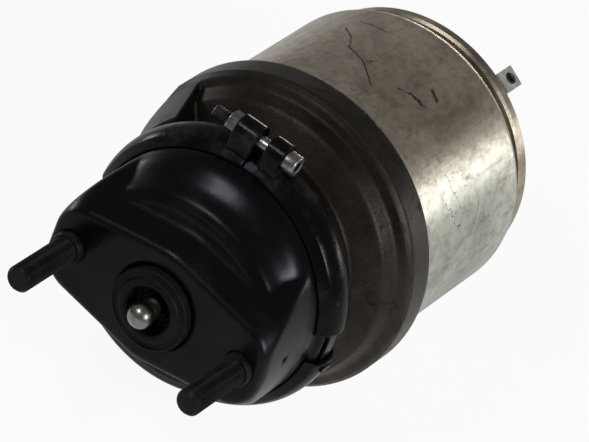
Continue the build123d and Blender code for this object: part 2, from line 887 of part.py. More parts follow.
# ---------------------------------------------------------------- spring piston and push tube
with BuildPart() as spring_piston:
    land_r = bore_r - piston_land_gap
    recess_rear_r = piston_recess_r + piston_recess_wall
    hub_rear_face = piston_hub_front + piston_hub_wall
    floor = piston_face + piston_wall
    revolve(
        outline(
            (release_hole_r, piston_hub_front + tube_socket),
            (tube_r + seat, piston_hub_front + tube_socket),
            (tube_r + seat, piston_hub_front),
            (piston_recess_r, piston_hub_front),
            (piston_recess_r, piston_face + 1),
            (piston_recess_r + 1, piston_face),
            (piston_face_r, piston_face),
            (piston_face_r + 1, piston_face + 0.5),
            (land_r - 1, piston_land_front),
            (land_r, piston_land_front + 1),
            (land_r, piston_land_rear),
            (piston_skirt_r, piston_land_rear),
            (piston_skirt_r, piston_land_front + 3),
            (piston_face_r - 1.5, floor),
            (recess_rear_r, floor),
            (recess_rear_r, hub_rear_face - 2),
            (recess_rear_r - 2, hub_rear_face),
            (release_hole_r, hub_rear_face),
        ),
        axis=Axis.Y,
    )
    for front, length, depth in (
        (piston_seal_front, piston_seal_length, piston_seal_depth),
        (piston_guide_front, piston_guide_length, piston_guide_depth),
    ):
        revolve(ring(land_r - depth, bore_r, front, front + length), axis=Axis.Y, mode=Mode.SUBTRACT)
save(spring_piston, "spring_piston")


def piston_band(front, length, depth):
    """A ring that fills one of the piston's grooves and runs on the cylinder's bore."""
    revolve(
        ring(land_r - depth + seat, bore_r - slip, front + seat, front + length - seat),
        axis=Axis.Y,
    )


with BuildPart() as piston_seal:
    piston_band(piston_seal_front, piston_seal_length, piston_seal_depth)
save(piston_seal, "piston_seal")

with BuildPart() as piston_guide_ring:
    piston_band(piston_guide_front, piston_guide_length, piston_guide_depth)
save(piston_guide_ring, "piston_guide_ring")

tube_rear = piston_hub_front + tube_socket
with BuildPart() as push_tube:
    revolve(ring(tube_bore_r, tube_r, tube_front, tube_rear), axis=Axis.Y)
save(push_tube, "push_tube")

with BuildPart() as tube_nose:
    nose_front = web_front + gap
    revolve(
        outline(
            (0, nose_front),
            (tube_r - 2.5, nose_front),
            (tube_r, nose_front + 2.5),
            (tube_r, tube_front),
            (tube_bore_r - seat, tube_front),
            (tube_bore_r - seat, tube_front + nose_spigot),
            (0, tube_front + nose_spigot),
        ),
        axis=Axis.Y,
    )
save(tube_nose, "tube_nose")

# ---------------------------------------------------------------- release bolt
collar_rear = tube_rear - slip
collar_front = collar_rear - release_collar_length
with BuildPart() as release_bolt:
    with BuildSketch(station(release_rear - release_head_height)):
        Circle(release_r)
    extrude(amount=release_rear - release_head_height - collar_front + 1)
    chamfer(release_bolt.faces().sort_by(Axis.Y)[0].edges(), length=1)
    with BuildSketch(station(release_rear)):
        RegularPolygon(radius=release_head_af / 2, side_count=6, major_radius=False)
    extrude(amount=release_head_height)
    with BuildSketch(Plane.YZ.offset(-release_collar_r)):
        with Locations((collar_front + release_collar_length / 2, 0)):
            Circle(release_pin_r + seat)
    extrude(amount=2 * release_collar_r, mode=Mode.SUBTRACT)
save(release_bolt, "release_bolt")

with BuildPart() as release_collar:
    revolve(ring(release_r + seat, release_collar_r, collar_front, collar_rear), axis=Axis.Y)
    with BuildSketch(Plane.YZ.offset(-release_collar_r)):
        with Locations((collar_front + release_collar_length / 2, 0)):
            Circle(release_pin_r + seat)
    extrude(amount=2 * release_collar_r, mode=Mode.SUBTRACT)
save(release_collar, "release_collar")

with BuildPart() as release_pin:
    pin_half = release_collar_r - 0.6
    with BuildSketch(Plane.YZ.offset(-pin_half)):
        with Locations((collar_front + release_collar_length / 2, 0)):
            Circle(release_pin_r)
    extrude(amount=2 * pin_half)
save(release_pin, "release_pin")

with BuildPart() as release_insert:
    revolve(
        outline(
            (release_r + slip, cover_floor - insert_flange),
            (insert_flange_r, cover_floor - insert_flange),
            (insert_flange_r, cover_floor),
            (insert_r, cover_floor),
            (insert_r, cover_boss_rear),
            (release_r + slip, cover_boss_rear),
        ),
        axis=Axis.Y,
    )
save(release_insert, "release_insert")

# ---------------------------------------------------------------- rear bracket
foot_plane = radial(bracket_azimuth, bracket_foot_r, cover_rear)
bracket_length = bracket_r - bracket_foot_r
with BuildPart() as tab_bracket:
    with BuildSketch(foot_plane):
        with Locations((0, bracket_wall / 2)):
            Rectangle(bracket_width, bracket_wall)
    extrude(amount=bracket_length)
    with BuildSketch(radial(bracket_azimuth, bracket_r, cover_rear)):
        with Locations((0, bracket_reach / 2)):
            Rectangle(bracket_width, bracket_reach)
    extrude(amount=-bracket_wall)
    with BuildSketch(radial(bracket_azimuth, bracket_r, cover_rear)):
        with Locations((0, bracket_hole_reach)):
            Circle(bracket_hole_r)
    extrude(amount=-bracket_wall, mode=Mode.SUBTRACT)
    with BuildSketch(station(cover_rear)):
        with Locations((screw_spot.X, screw_spot.Z)):
            Circle(bracket_screw_r + gap)
    extrude(amount=-bracket_wall, mode=Mode.SUBTRACT)
save(tab_bracket, "tab_bracket")

with BuildPart() as bracket_screw:
    head_front = cover_rear + bracket_wall
    with BuildSketch(station(head_front)):
        with Locations((screw_spot.X, screw_spot.Z)):
            Circle(bracket_screw_r)
    extrude(amount=bracket_wall + bracket_screw_depth)
    with BuildSketch(station(head_front)):
        with Locations((screw_spot.X, screw_spot.Z)):
            RegularPolygon(radius=bracket_screw_head_af / 2, side_count=6, major_radius=False)
    extrude(amount=-bracket_screw_head)
save(bracket_screw, "bracket_screw")
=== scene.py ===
"""An air brake spring chamber on a pale floor: finishes, threads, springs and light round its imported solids.

The chamber's axis is Y, its front and studs point along -Y, and Z is up. A station is a place on the axis.
The sizes of pieces are in mm. Those of finishes, the floor, the lamps and the camera are in metres.
"""

import json
import math

import bmesh
import bpy
from mathutils import Matrix, Vector


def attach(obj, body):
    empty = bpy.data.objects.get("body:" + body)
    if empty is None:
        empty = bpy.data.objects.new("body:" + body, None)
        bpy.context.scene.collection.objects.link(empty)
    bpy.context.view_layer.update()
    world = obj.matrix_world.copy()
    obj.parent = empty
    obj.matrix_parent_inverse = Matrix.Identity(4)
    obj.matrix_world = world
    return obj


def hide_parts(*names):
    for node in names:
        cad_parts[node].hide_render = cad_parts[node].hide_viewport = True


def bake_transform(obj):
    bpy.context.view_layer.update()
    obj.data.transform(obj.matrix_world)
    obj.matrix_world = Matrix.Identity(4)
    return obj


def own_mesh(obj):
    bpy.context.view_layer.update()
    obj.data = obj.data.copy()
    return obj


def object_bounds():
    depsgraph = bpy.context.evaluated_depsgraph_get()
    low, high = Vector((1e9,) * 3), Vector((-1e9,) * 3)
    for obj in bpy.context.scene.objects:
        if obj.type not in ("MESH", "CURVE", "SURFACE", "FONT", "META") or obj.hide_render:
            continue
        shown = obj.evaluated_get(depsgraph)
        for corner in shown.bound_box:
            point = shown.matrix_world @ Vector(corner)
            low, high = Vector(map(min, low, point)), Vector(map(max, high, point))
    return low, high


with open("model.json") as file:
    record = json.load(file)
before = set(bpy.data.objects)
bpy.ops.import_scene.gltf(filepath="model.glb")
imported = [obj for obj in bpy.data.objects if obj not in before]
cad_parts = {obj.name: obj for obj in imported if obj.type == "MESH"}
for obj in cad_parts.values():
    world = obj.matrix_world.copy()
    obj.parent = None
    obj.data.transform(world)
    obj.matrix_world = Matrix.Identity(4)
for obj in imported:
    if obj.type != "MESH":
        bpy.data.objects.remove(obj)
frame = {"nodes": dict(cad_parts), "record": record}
cad_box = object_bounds()


# ------------------------------------------------------------------ node trees
class Wire:
    """A socket in a node tree: arithmetic on it adds Math nodes."""

    def __init__(self, graph, socket):
        self.graph = graph
        self.socket = socket

    def _with(self, operation, *values):
        return self.graph.node("ShaderNodeMath", {"operation": operation}, dict(enumerate(values)))

    def __add__(self, other):
        return self._with("ADD", self, other)

    __radd__ = __add__

    def __sub__(self, other):
        return self._with("SUBTRACT", self, other)

    def __rsub__(self, other):
        return self._with("SUBTRACT", other, self)

    def __mul__(self, other):
        return self._with("MULTIPLY", self, other)

    __rmul__ = __mul__

    def __truediv__(self, other):
        return self._with("DIVIDE", self, other)

    def __pow__(self, other):
        return self._with("POWER", self, other)

    def most(self, other):
        """The larger of the two."""
        return self._with("MAXIMUM", self, other)

    def least(self, other):
        """The smaller of the two."""
        return self._with("MINIMUM", self, other)

    def away_from(self, other):
        """How far it is from the other, always positive."""
        return self._with("ABSOLUTE", self - other)

    def rise(self, low, high):
        """0 below low, 1 above high, smooth between."""
        settings = {"interpolation_type": "SMOOTHSTEP", "clamp": True}
        sockets = {"Value": self, "From Min": low, "From Max": high}
        return self.graph.node("ShaderNodeMapRange", settings, sockets)

    def fall(self, low, high):
        """1 below low, 0 above high, smooth between."""
        return 1 - self.rise(low, high)


class Graph:
    """A node tree: every node comes from node(), which sets the settings first and then the sockets."""

    def __init__(self, tree):
        self.tree = tree

    def node(self, kind, settings, sockets, output=0):
        """A new node: its chosen output as a Wire, or the node itself where it has none."""
        made = self.tree.nodes.new(kind)
        for key, value in settings.items():
            setattr(made, key, value)
        for key, value in sockets.items():
            target = made.inputs[key]
            if isinstance(value, Wire):
                self.tree.links.new(value.socket, target)
            else:
                target.default_value = value
        return Wire(self, made.outputs[output]) if made.outputs else made

    def split(self, vector):
        """The X, Y and Z of a vector."""
        parts = self.node("ShaderNodeSeparateXYZ", {}, {0: vector})
        return [Wire(self, socket) for socket in parts.socket.node.outputs]

    def join(self, x, y, z):
        return self.node("ShaderNodeCombineXYZ", {}, {0: x, 1: y, 2: z})

    def direction(self, up, side):
        """The angle of a direction, in radians."""
        return self.node("ShaderNodeMath", {"operation": "ARCTAN2"}, {0: up, 1: side})

    def rays(self):
        """1 for a ray from the camera, for a mirrored ray, and for a ray through clear material."""
        path = self.node("ShaderNodeLightPath", {}, {}).socket.node
        return [Wire(self, path.outputs[f"Is {kind} Ray"]) for kind in ("Camera", "Glossy", "Transmission")]


class Finish(Graph):
    """One material, patterned on Object coordinates."""

    def __init__(self, name):
        self.material = bpy.data.materials.new(name)
        self.material.use_nodes = True
        super().__init__(self.material.node_tree)
        self.tree.nodes.clear()
        self.places = self.node("ShaderNodeTexCoord", {}, {}, "Object")

    def noise(self, scale, detail=3.0, rough=0.5, warp=0.0, at=None):
        """Noise from 0 to 1, with its scale in cells to the metre."""
        sockets = {"Scale": scale, "Detail": detail, "Roughness": rough, "Distortion": warp}
        sockets["Vector"] = at or self.places
        return self.node("ShaderNodeTexNoise", {}, sockets)

    def cells(self, scale):
        """The distance to the nearest of many scattered points, which is small at a speck or a pit."""
        sockets = {"Scale": scale, "Vector": self.places}
        return self.node("ShaderNodeTexVoronoi", {"feature": "F1"}, sockets, "Distance")

    def tint(self, share, first, second):
        """A mix of two colours."""
        settings = {"data_type": "RGBA"}
        return self.node("ShaderNodeMix", settings, {0: share, 6: first, 7: second}, 2)

    def shine(self, colour, roughness, metallic=0.0, height=None, lift=0.0002, round_r=0.0, **plain):
        """The surface itself: a bump of height times lift over edges rounded to round_r, both in metres."""
        sockets = {"Base Color": colour, "Roughness": roughness, "Metallic": metallic, **plain}
        if height is not None:
            bump = {"Strength": 1.0, "Distance": lift, "Height": height}
            if round_r:
                bump["Normal"] = self.node("ShaderNodeBevel", {"samples": 8}, {"Radius": round_r})
            sockets["Normal"] = self.node("ShaderNodeBump", {}, bump)
        surface = self.node("ShaderNodeBsdfPrincipled", {}, sockets)
        self.node("ShaderNodeOutputMaterial", {}, {"Surface": surface})
        return self.material


class TurnedFinish(Finish):
    """A finish that follows the axis, by radius, by station and by the side and height of the direction."""

    smallest_r = 0.0001

    def __init__(self, name):
        super().__init__(name)
        x, self.along, z = self.split(self.places)
        self.radius = (x * x + z * z) ** 0.5
        self.side = x / self.radius.most(self.smallest_r)
        self.up = z / self.radius.most(self.smallest_r)

    def wrapped(self, round_scale, long_scale, deep_scale=0.0):
        """Places for a noise that is drawn out round the axis or along it."""
        station = self.along * long_scale + self.radius * deep_scale
        return self.join(self.side * round_scale, station, self.up * round_scale)

    def lathe(self, line_scale, side_scale, up_scale):
        """Places for turning lines: close along the axis and the radius, and long round the axis."""
        across = self.radius * line_scale + self.side * side_scale
        return self.join(across, self.along * line_scale, self.up * up_scale)


def add_object(name, data):
    """A new object in the scene, at the origin."""
    made = bpy.data.objects.new(name, data)
    bpy.context.scene.collection.objects.link(made)
    return made


class Recipe(Graph):
    """A Geometry Nodes tree with named inputs, which ends in Realize Instances and Set Material."""

    kinds = {int: "NodeSocketInt", float: "NodeSocketFloat"}

    def __init__(self, name, sizes):
        self.group = bpy.data.node_groups.new(name, "GeometryNodeTree")
        super().__init__(self.group)
        self.group.interface.new_socket("Geometry", in_out="OUTPUT", socket_type="NodeSocketGeometry")
        self.keys = {}
        self.add_input("Surface", "NodeSocketMaterial")
        for label, kind in sizes.items():
            self.add_input(label, self.kinds[kind])
        self.given = self.tree.nodes.new("NodeGroupInput")

    def add_input(self, label, kind):
        socket = self.group.interface.new_socket(label, in_out="INPUT", socket_type=kind)
        self.keys[label] = socket.identifier

    def size(self, label):
        """A named input, as a Wire."""
        return Wire(self, self.given.outputs[label])

    def close(self, shape):
        """Ends the tree with a shape."""
        solid = self.node("GeometryNodeRealizeInstances", {}, {"Geometry": shape})
        surfaced = {"Geometry": solid, "Material": self.size("Surface")}
        dressed = self.node("GeometryNodeSetMaterial", {}, surfaced)
        self.node("NodeGroupOutput", {}, {0: dressed})

    def mesh(self, finish, **sizes):
        """The finished mesh for these sizes, standing on Z."""
        holder = add_object(self.group.name, bpy.data.meshes.new(self.group.name))
        maker = holder.modifiers.new("maker", "NODES")
        maker.node_group = self.group
        maker[self.keys["Surface"]] = finish
        for label, value in sizes.items():
            maker[self.keys[label]] = value
        bpy.context.view_layer.update()
        seen = holder.evaluated_get(bpy.context.evaluated_depsgraph_get())
        made = bpy.data.meshes.new_from_object(seen)
        bpy.data.objects.remove(holder)
        return made


# ------------------------------------------------------------------ colours
def rgb(red, green, blue):
    return (red, green, blue, 1.0)


def grey(value, warm=0.0):
    """A grey, warmed towards red by a share of itself."""
    return rgb(value * (1 + warm), value, value * (1 - warm))


def black_gloss(level):
    """The weak, slightly cool reflection of a black surface."""
    return {"Specular IOR Level": level, "Specular Tint": rgb(0.90, 0.86, 1.0)}


# ------------------------------------------------------------------ finishes
def bowl_enamel():
    """Semi-gloss black stove enamel with orange peel, dust and a few dull rubs."""
    finish = Finish("bowl_enamel")
    black, dusty = rgb(0.0019, 0.0018, 0.0023), rgb(0.019, 0.018, 0.019)
    peel = finish.noise(330, 2.0)
    wave = finish.noise(24, 3.0, 0.5)
    dust = finish.noise(18, 7.0, 0.68)
    specks = finish.cells(700).fall(0.05, 0.13) * finish.noise(55).rise(0.54, 0.68)
    scuffs = finish.noise(260, 2.0, 0.5, 2.5).rise(0.70, 0.74) * dust.rise(0.5, 0.62)
    veil = dust.rise(0.46, 0.78) * 0.5 + specks * 0.5 + scuffs * 0.8
    rough = dust * 0.16 + 0.20 + specks * 0.3 + scuffs * 0.2
    relief = peel * 0.5 + wave * 1.6 + dust * 0.5 + specks * 0.8
    colour = finish.tint(veil, black, dusty)
    return finish.shine(colour, rough, height=relief, lift=0.00009, round_r=0.005, **black_gloss(0.125))


def clamp_enamel():
    """Gloss black enamel over pressed steel, sagged and mottled, chipped in places."""
    finish = Finish("clamp_enamel")
    black, dirt, bare = grey(0.0025), grey(0.018, 0.12), grey(0.12, 0.06)
    sag = finish.noise(70, 5.0, 0.62, 0.3)
    grit = finish.noise(480, 3.0)
    grime = finish.noise(32, 7.0, 0.7)
    chips = finish.noise(120, 8.0, 0.75, 0.4).rise(0.67, 0.70)
    paint = finish.tint(grime.rise(0.45, 0.75), black, dirt)
    colour = finish.tint(chips * 0.7, paint, bare)
    rough = sag * 0.26 + 0.07 + chips * 0.3 + grime.rise(0.5, 0.8) * 0.3
    relief = sag * 1.2 + grit * 0.25 - chips * 0.3
    return finish.shine(colour, rough, height=relief, lift=0.0003, round_r=0.0018, **black_gloss(0.08))


def boot_rubber():
    """Matt black moulded rubber, with dust in it."""
    finish = Finish("boot_rubber")
    skin = finish.noise(700, 3.0)
    bloom = finish.noise(35, 6.0, 0.66)
    dust = finish.cells(420).fall(0.05, 0.16) * bloom.rise(0.45, 0.65)
    colour = finish.tint(bloom.rise(0.4, 0.75) * 0.6 + dust * 0.5, grey(0.0035), grey(0.017))
    return finish.shine(colour, bloom * 0.2 + 0.42, height=skin + bloom, lift=0.00007, **black_gloss(0.09))


def thread_oxide():
    """Black oxide steel, a little greasy."""
    finish = Finish("thread_oxide")
    oil = finish.noise(60, 5.0, 0.6)
    grit = finish.noise(900, 3.0)
    colour = finish.tint(oil.rise(0.35, 0.8), grey(0.0025), grey(0.013, 0.04))
    return finish.shine(colour, oil * 0.25 + 0.34, height=grit, lift=0.00004, **black_gloss(0.13))


def ball_steel():
    """The rod's ground steel: a polished ball with soft grease on it, and the rod behind it painted dark as
    shade inside the boot.
    """
    finish = TurnedFinish("ball_steel")
    grease_and_shade = rgb(0.035, 0.03, 0.025)
    lines = finish.noise(1.0, 3.0, at=finish.lathe(3000, 1, 2))
    haze = finish.noise(160, 5.0, 0.6)
    grease = finish.noise(60, 4.0, 0.55, 0.5).rise(0.36, 0.72)
    # Painted shade: the rod behind the ball is painted near-black with the grease colour, for the shade inside
    # the boot's mouth.
    rod = finish.along.rise(-0.0072, -0.0035)
    bright = finish.tint(haze, grey(0.20, 0.05), grey(0.32, 0.04))
    colour = finish.tint((grease * 0.6).most(rod * 0.97), bright, grease_and_shade)
    rough = haze * 0.12 + 0.17 + lines * 0.04 + grease * 0.1 + rod * 0.25
    return finish.shine(colour, rough, 1.0, height=lines + grease, lift=0.00001)


def zinc_plate():
    """Bright zinc plate, cloudy, with fine scuffs and grime in its lows."""
    finish = Finish("zinc_plate")
    dirt = rgb(0.05, 0.042, 0.032)
    cloud = finish.noise(150, 6.0, 0.65)
    grime = finish.noise(260, 7.0, 0.72, 0.4).rise(0.5, 0.68)
    scuffs = finish.noise(500, 2.0, 0.5, 1.5)
    metal = finish.tint(cloud.rise(0.3, 0.8), grey(0.17, 0.03), grey(0.33, 0.02))
    colour = finish.tint(grime * 0.55, metal, dirt)
    return finish.shine(colour, cloud * 0.2 + 0.2 + grime * 0.25, 1.0, height=scuffs + cloud, lift=0.00005)


def cover_skin():
    """Brown satin casting of the rear cover, wiped lighter in places."""
    finish = Finish("cover_skin")
    brown, wiped = rgb(0.085, 0.068, 0.052), rgb(0.27, 0.23, 0.175)
    sand = finish.noise(240, 6.0, 0.65)
    wipe = finish.noise(28, 7.0, 0.66, 0.5)
    colour = finish.tint(wipe.rise(0.3, 0.72), brown, wiped)
    rough = wipe * 0.2 + 0.28 + sand * 0.1
    return finish.shine(colour, rough, 0.85, height=sand + wipe, lift=0.00012)


def dull_zinc():
    """Weathered zinc plate, greenish-grey and cloudy."""
    finish = Finish("dull_zinc")
    dark, light, dirt = rgb(0.30, 0.305, 0.26), rgb(0.50, 0.51, 0.45), rgb(0.09, 0.085, 0.065)
    cloud = finish.noise(130, 7.0, 0.68)
    grime = finish.noise(300, 7.0, 0.72, 0.4).rise(0.52, 0.7)
    metal = finish.tint(cloud.rise(0.3, 0.75), dark, light)
    colour = finish.tint(grime * 0.6, metal, dirt)
    return finish.shine(colour, cloud * 0.25 + 0.3 + grime * 0.2, 0.35, height=cloud + grime, lift=0.00006)


def grimy_thread():
    """Zinc-plated thread, dark with old grease."""
    finish = Finish("grimy_thread")
    metal, old_grease = rgb(0.075, 0.07, 0.06), rgb(0.014, 0.012, 0.010)
    grease = finish.noise(240, 7.0, 0.7, 0.4)
    colour = finish.tint(grease.rise(0.35, 0.62), metal, old_grease)
    return finish.shine(colour, grease * 0.3 + 0.3, 0.7, height=grease, lift=0.00006)


def plain_steel():
    """Machined steel with its turning lines."""
    finish = TurnedFinish("plain_steel")
    lines = finish.noise(1.0, 4.0, at=finish.lathe(2500, 1, 3))
    stain = finish.noise(40, 5.0)
    colour = finish.tint(stain.rise(0.35, 0.8), grey(0.42, 0.02), grey(0.28, 0.08))
    return finish.shine(colour, stain * 0.2 + 0.28, 1.0, height=lines, lift=0.00003)


def spring_coating():
    """Dark dipped coating on spring wire."""
    finish = Finish("spring_coating")
    drips = finish.noise(140, 5.0)
    colour = finish.tint(drips, grey(0.02), grey(0.05, 0.05))
    return finish.shine(colour, drips * 0.2 + 0.35, 0.2, height=drips, lift=0.0001)


def casting_skin():
    """Dark grey-brown satin casting: sandy, with painted shade darkening it on top and painted light
    lightening it towards the lower side, with grime, pits and nicks.
    """
    finish = TurnedFinish("casting_skin")
    painted_shade_dark, painted_shade_light = rgb(0.0075, 0.0062, 0.0054), rgb(0.026, 0.021, 0.017)
    skin_dark, skin_light = rgb(0.023, 0.0195, 0.015), rgb(0.072, 0.062, 0.048)
    dirt, bare = rgb(0.009, 0.0075, 0.0062), rgb(0.24, 0.22, 0.19)
    turning = finish.noise(1.0, 5.0, 0.6, at=finish.lathe(1400, 2, 2.5))
    sand = finish.noise(260, 6.0, 0.65)
    stain = finish.noise(15, 8.0, 0.66, 0.4)
    grime = finish.noise(48, 7.0, 0.7, 0.3)
    band = finish.radius.rise(0.0955, 0.0966)
    # Painted light and shade: the casting is painted dark on top and light towards the lower right, as the
    # light falls on it; the outer band takes some of the lighter skin too.
    painted_light_below = (finish.side * 0.6 - finish.up).rise(-0.45, 1.0)
    painted_shade_top = finish.tint(stain.rise(0.3, 0.75), painted_shade_dark, painted_shade_light)
    lighter_skin = finish.tint(stain.rise(0.25, 0.7), skin_dark, skin_light)
    base = finish.tint((painted_light_below * 0.7 + band * 0.3).least(1), painted_shade_top, lighter_skin)
    rubs = (grime.rise(0.52, 0.66) * sand.rise(0.35, 0.6)).least(1)
    worn = finish.tint(rubs * 0.8, base, dirt)
    pits = finish.cells(240).fall(0.05, 0.15) * finish.noise(45).rise(0.48, 0.64)
    cracks = finish.noise(1.0, 5.0, 0.6, 1.0, at=finish.wrapped(26, 120, 60))
    nicks = cracks.away_from(0.5).fall(0.002, 0.007) * finish.noise(30).rise(0.52, 0.62)
    pitted = finish.tint(pits * 0.6, worn, grey(0.008, 0.1))
    colour = finish.tint(nicks * 0.16, pitted, bare)
    rough = stain * 0.18 + 0.27 + sand * 0.10 + rubs * 0.12
    relief = sand * 1.1 + turning * 0.4 + grime * 1.3 - pits * 0.8
    dull = {"Specular IOR Level": 0.2}
    return finish.shine(colour, rough, 0.8, height=relief, lift=0.00016, round_r=0.003, **dull)


shell_r = 0.089
# dark scratches on the shell: the angle in degrees and the station in mm of each end, then the width in mm
scratches = (
    (118.0, 216.0, 111.0, 204.5, 0.8),
    (111.0, 204.5, 106.8, 192.0, 0.7),
    (106.8, 192.0, 98.5, 185.4, 0.9),
    (98.5, 185.4, 88.0, 169.2, 0.8),
    (98.5, 185.4, 93.5, 192.5, 0.5),
    (116.5, 228.4, 103.8, 224.9, 0.7),
    (80.5, 182.5, 68.6, 190.6, 0.8),
    (76.3, 186.9, 71.6, 189.1, 1.7),
    (71.9, 203.6, 69.0, 202.2, 1.9),
    (44.0, 176.0, 28.6, 184.4, 0.3),
    (33.6, 168.9, 21.0, 182.2, 0.3),
    (27.0, 205.0, 14.0, 196.0, 0.35),
)


def scratch(angle, along, wander, ends):
    """A thin wandering line between two places on the shell, measured on its unrolled skin."""
    start_turn, start, end_turn, end, width = ends
    across = math.radians(end_turn - start_turn) * shell_r
    forth = (end - start) / 1000
    reach = across * across + forth * forth
    u = (angle - math.radians(start_turn)) * shell_r + wander
    v = along - start / 1000 + wander * 0.7
    share = ((u * across + v * forth) / reach).most(0).least(1)
    du = u - share * across
    dv = v - share * forth
    return ((du * du + dv * dv) ** 0.5).fall(width * 0.0003, width * 0.001)


def shell_marks(finish):
    """The shell's dark marks: its scratches, many hairlines and small spots."""
    angle = finish.direction(finish.up, finish.side)
    wander = (finish.noise(260, 3.0) - 0.5) * 0.006 + (finish.noise(70, 2.0) - 0.5) * 0.008
    lines = scratch(angle, finish.along, wander, scratches[0])
    for ends in scratches[1:]:
        lines = lines.most(scratch(angle, finish.along, wander, ends))
    field = finish.noise(1.0, 6.0, 0.55, 1.2, at=finish.wrapped(11, 34))
    hairs = field.away_from(0.5).fall(0.001, 0.0035) * finish.noise(24).rise(0.55, 0.64)
    spots = finish.noise(1.0, 5.0, 0.6, at=finish.wrapped(16, 190)).rise(0.70, 0.74)
    return (lines * 0.9).most(hairs * 0.55).most(spots * 0.7)


def drawn_alloy():
    """Satin drawn shell: hazy grey at its side and painted a lighter tan on top as light from above (painted
    light), with dark scratches, spots and stains.
    """
    finish = TurnedFinish("drawn_alloy")
    alloy_dark, alloy_light = rgb(0.34, 0.345, 0.295), rgb(0.56, 0.565, 0.49)
    top_lit_tan_dark, top_lit_tan_light = rgb(0.37, 0.305, 0.235), rgb(0.68, 0.59, 0.475)
    brown_film, mark = rgb(0.13, 0.105, 0.08), rgb(0.022, 0.018, 0.015)
    drawn = finish.noise(1.0, 6.0, 0.62, at=finish.wrapped(80, 6, 40))
    rings = finish.noise(1.0, 5.0, 0.6, at=finish.wrapped(1.5, 800))
    cloud = finish.noise(13, 8.0, 0.64, 0.6)
    blotch = finish.noise(1.0, 7.0, 0.68, 0.5, at=finish.wrapped(5.5, 42))
    fine = finish.noise(170, 6.0, 0.72)
    smear = finish.noise(1.0, 7.0, 0.7, 0.8, at=finish.wrapped(14, 26)).rise(0.5, 0.72)
    alloy = finish.tint(cloud.rise(0.3, 0.75), alloy_dark, alloy_light)
    tan = finish.tint(cloud.rise(0.32, 0.7), top_lit_tan_dark, top_lit_tan_light)
    # Painted light: the upward-facing top is painted tan and lighter than the grey side, for the light that
    # falls on it from above.
    base = finish.tint(finish.up.rise(0.52, 0.90), alloy, tan)
    film = blotch.rise(0.46, 0.74) * 0.42 + fine.rise(0.42, 0.7) * 0.36 + smear * 0.25
    stained = finish.tint(film.least(0.8), base, brown_film)
    marks = shell_marks(finish)
    colour = finish.tint(marks, stained, mark)
    rolled = finish.along.rise(0.2455, 0.2495)
    rough = cloud * 0.14 + fine * 0.12 + 0.21 + marks * 0.3 + blotch * 0.08 + rolled * 0.16 + smear * 0.12
    relief = drawn * 0.5 + rings * 0.45 + fine * 0.5 + blotch * 0.5 - marks * 0.15
    return finish.shine(colour, rough, 1.0, height=relief * (1 - rolled * 0.85), lift=0.00010)


def tan_ring():
    """A tan-brown satin ring with darker wiped patches."""
    finish = Finish("tan_ring")
    brown, tan = rgb(0.15, 0.124, 0.096), rgb(0.44, 0.39, 0.30)
    wipe = finish.noise(26, 7.0, 0.66, 0.5)
    grain = finish.noise(400, 4.0)
    colour = finish.tint(wipe.rise(0.3, 0.7), brown, tan)
    return finish.shine(colour, wipe * 0.2 + 0.25, 0.85, height=grain + wipe, lift=0.00008)


def bearing_plastic():
    """Natural bearing plastic, slightly cloudy."""
    finish = Finish("bearing_plastic")
    cloud = finish.noise(90, 4.0)
    colour = finish.tint(cloud, rgb(0.62, 0.60, 0.52), rgb(0.70, 0.68, 0.61))
    return finish.shine(colour, cloud * 0.2 + 0.4, height=cloud, lift=0.00005)


finishes = {
    "black_paint": bowl_enamel(),
    "clamp_black": clamp_enamel(),
    "zinc": zinc_plate(),
    "black_oxide": thread_oxide(),
    "polished_steel": ball_steel(),
    "plain_steel": plain_steel(),
    "spring_steel": spring_coating(),
    "black_rubber": boot_rubber(),
    "cast_alloy": casting_skin(),
    "raw_alloy": drawn_alloy(),
    "tan_steel": tan_ring(),
    "bush_plastic": bearing_plastic(),
}
grimy_thread_finish = grimy_thread()
variants = {"tab_bracket": dull_zinc(), "rear_cover": cover_skin()}
slots = {row["node"]: row["material_slot"] for row in frame["record"]["subparts"]}
for name, solid in frame["nodes"].items():
    solid.data.materials.clear()
    solid.data.materials.append(variants.get(name) or finishes[slots[name]])


# ------------------------------------------------------------------ turned and threaded meshes, made on Z
def mm(*values):
    """A place in metres from millimetres."""
    return Vector(values) / 1000


def to_front(place):
    """Moves a mesh that stands on Z so that it stands on a place and points along -Y."""
    return Matrix.Translation(place) @ Matrix.Rotation(math.pi / 2, 4, "X")


def to_rear(place):
    """The same, pointing along +Y."""
    return Matrix.Translation(place) @ Matrix.Rotation(-math.pi / 2, 4, "X")


def to_left(place):
    """The same, pointing along -X."""
    return Matrix.Translation(place) @ Matrix.Rotation(-math.pi / 2, 4, "Y")


def to_right(place):
    """The same, pointing along +X."""
    return Matrix.Translation(place) @ Matrix.Rotation(math.pi / 2, 4, "Y")


def outwards(place, out):
    """The same, pointing along a direction that leaves the chamber's axis."""
    return Matrix.Translation(place) @ out.to_track_quat("Z", "Y").to_matrix().to_4x4()


def spoke(azimuth):
    """The direction that leaves the chamber's axis at an angle in degrees, from +X towards +Z."""
    turn = math.radians(azimuth)
    return Vector((math.cos(turn), 0, math.sin(turn)))


def ring_reach(turn, radius, half_flats):
    """The radius of a round ring, or of one cut to a hexagon, in one direction."""
    if half_flats is None:
        return radius
    sixth = math.pi / 3
    off_flat = (turn + sixth / 2) % sixth - sixth / 2
    return min(radius, half_flats / math.cos(off_flat))


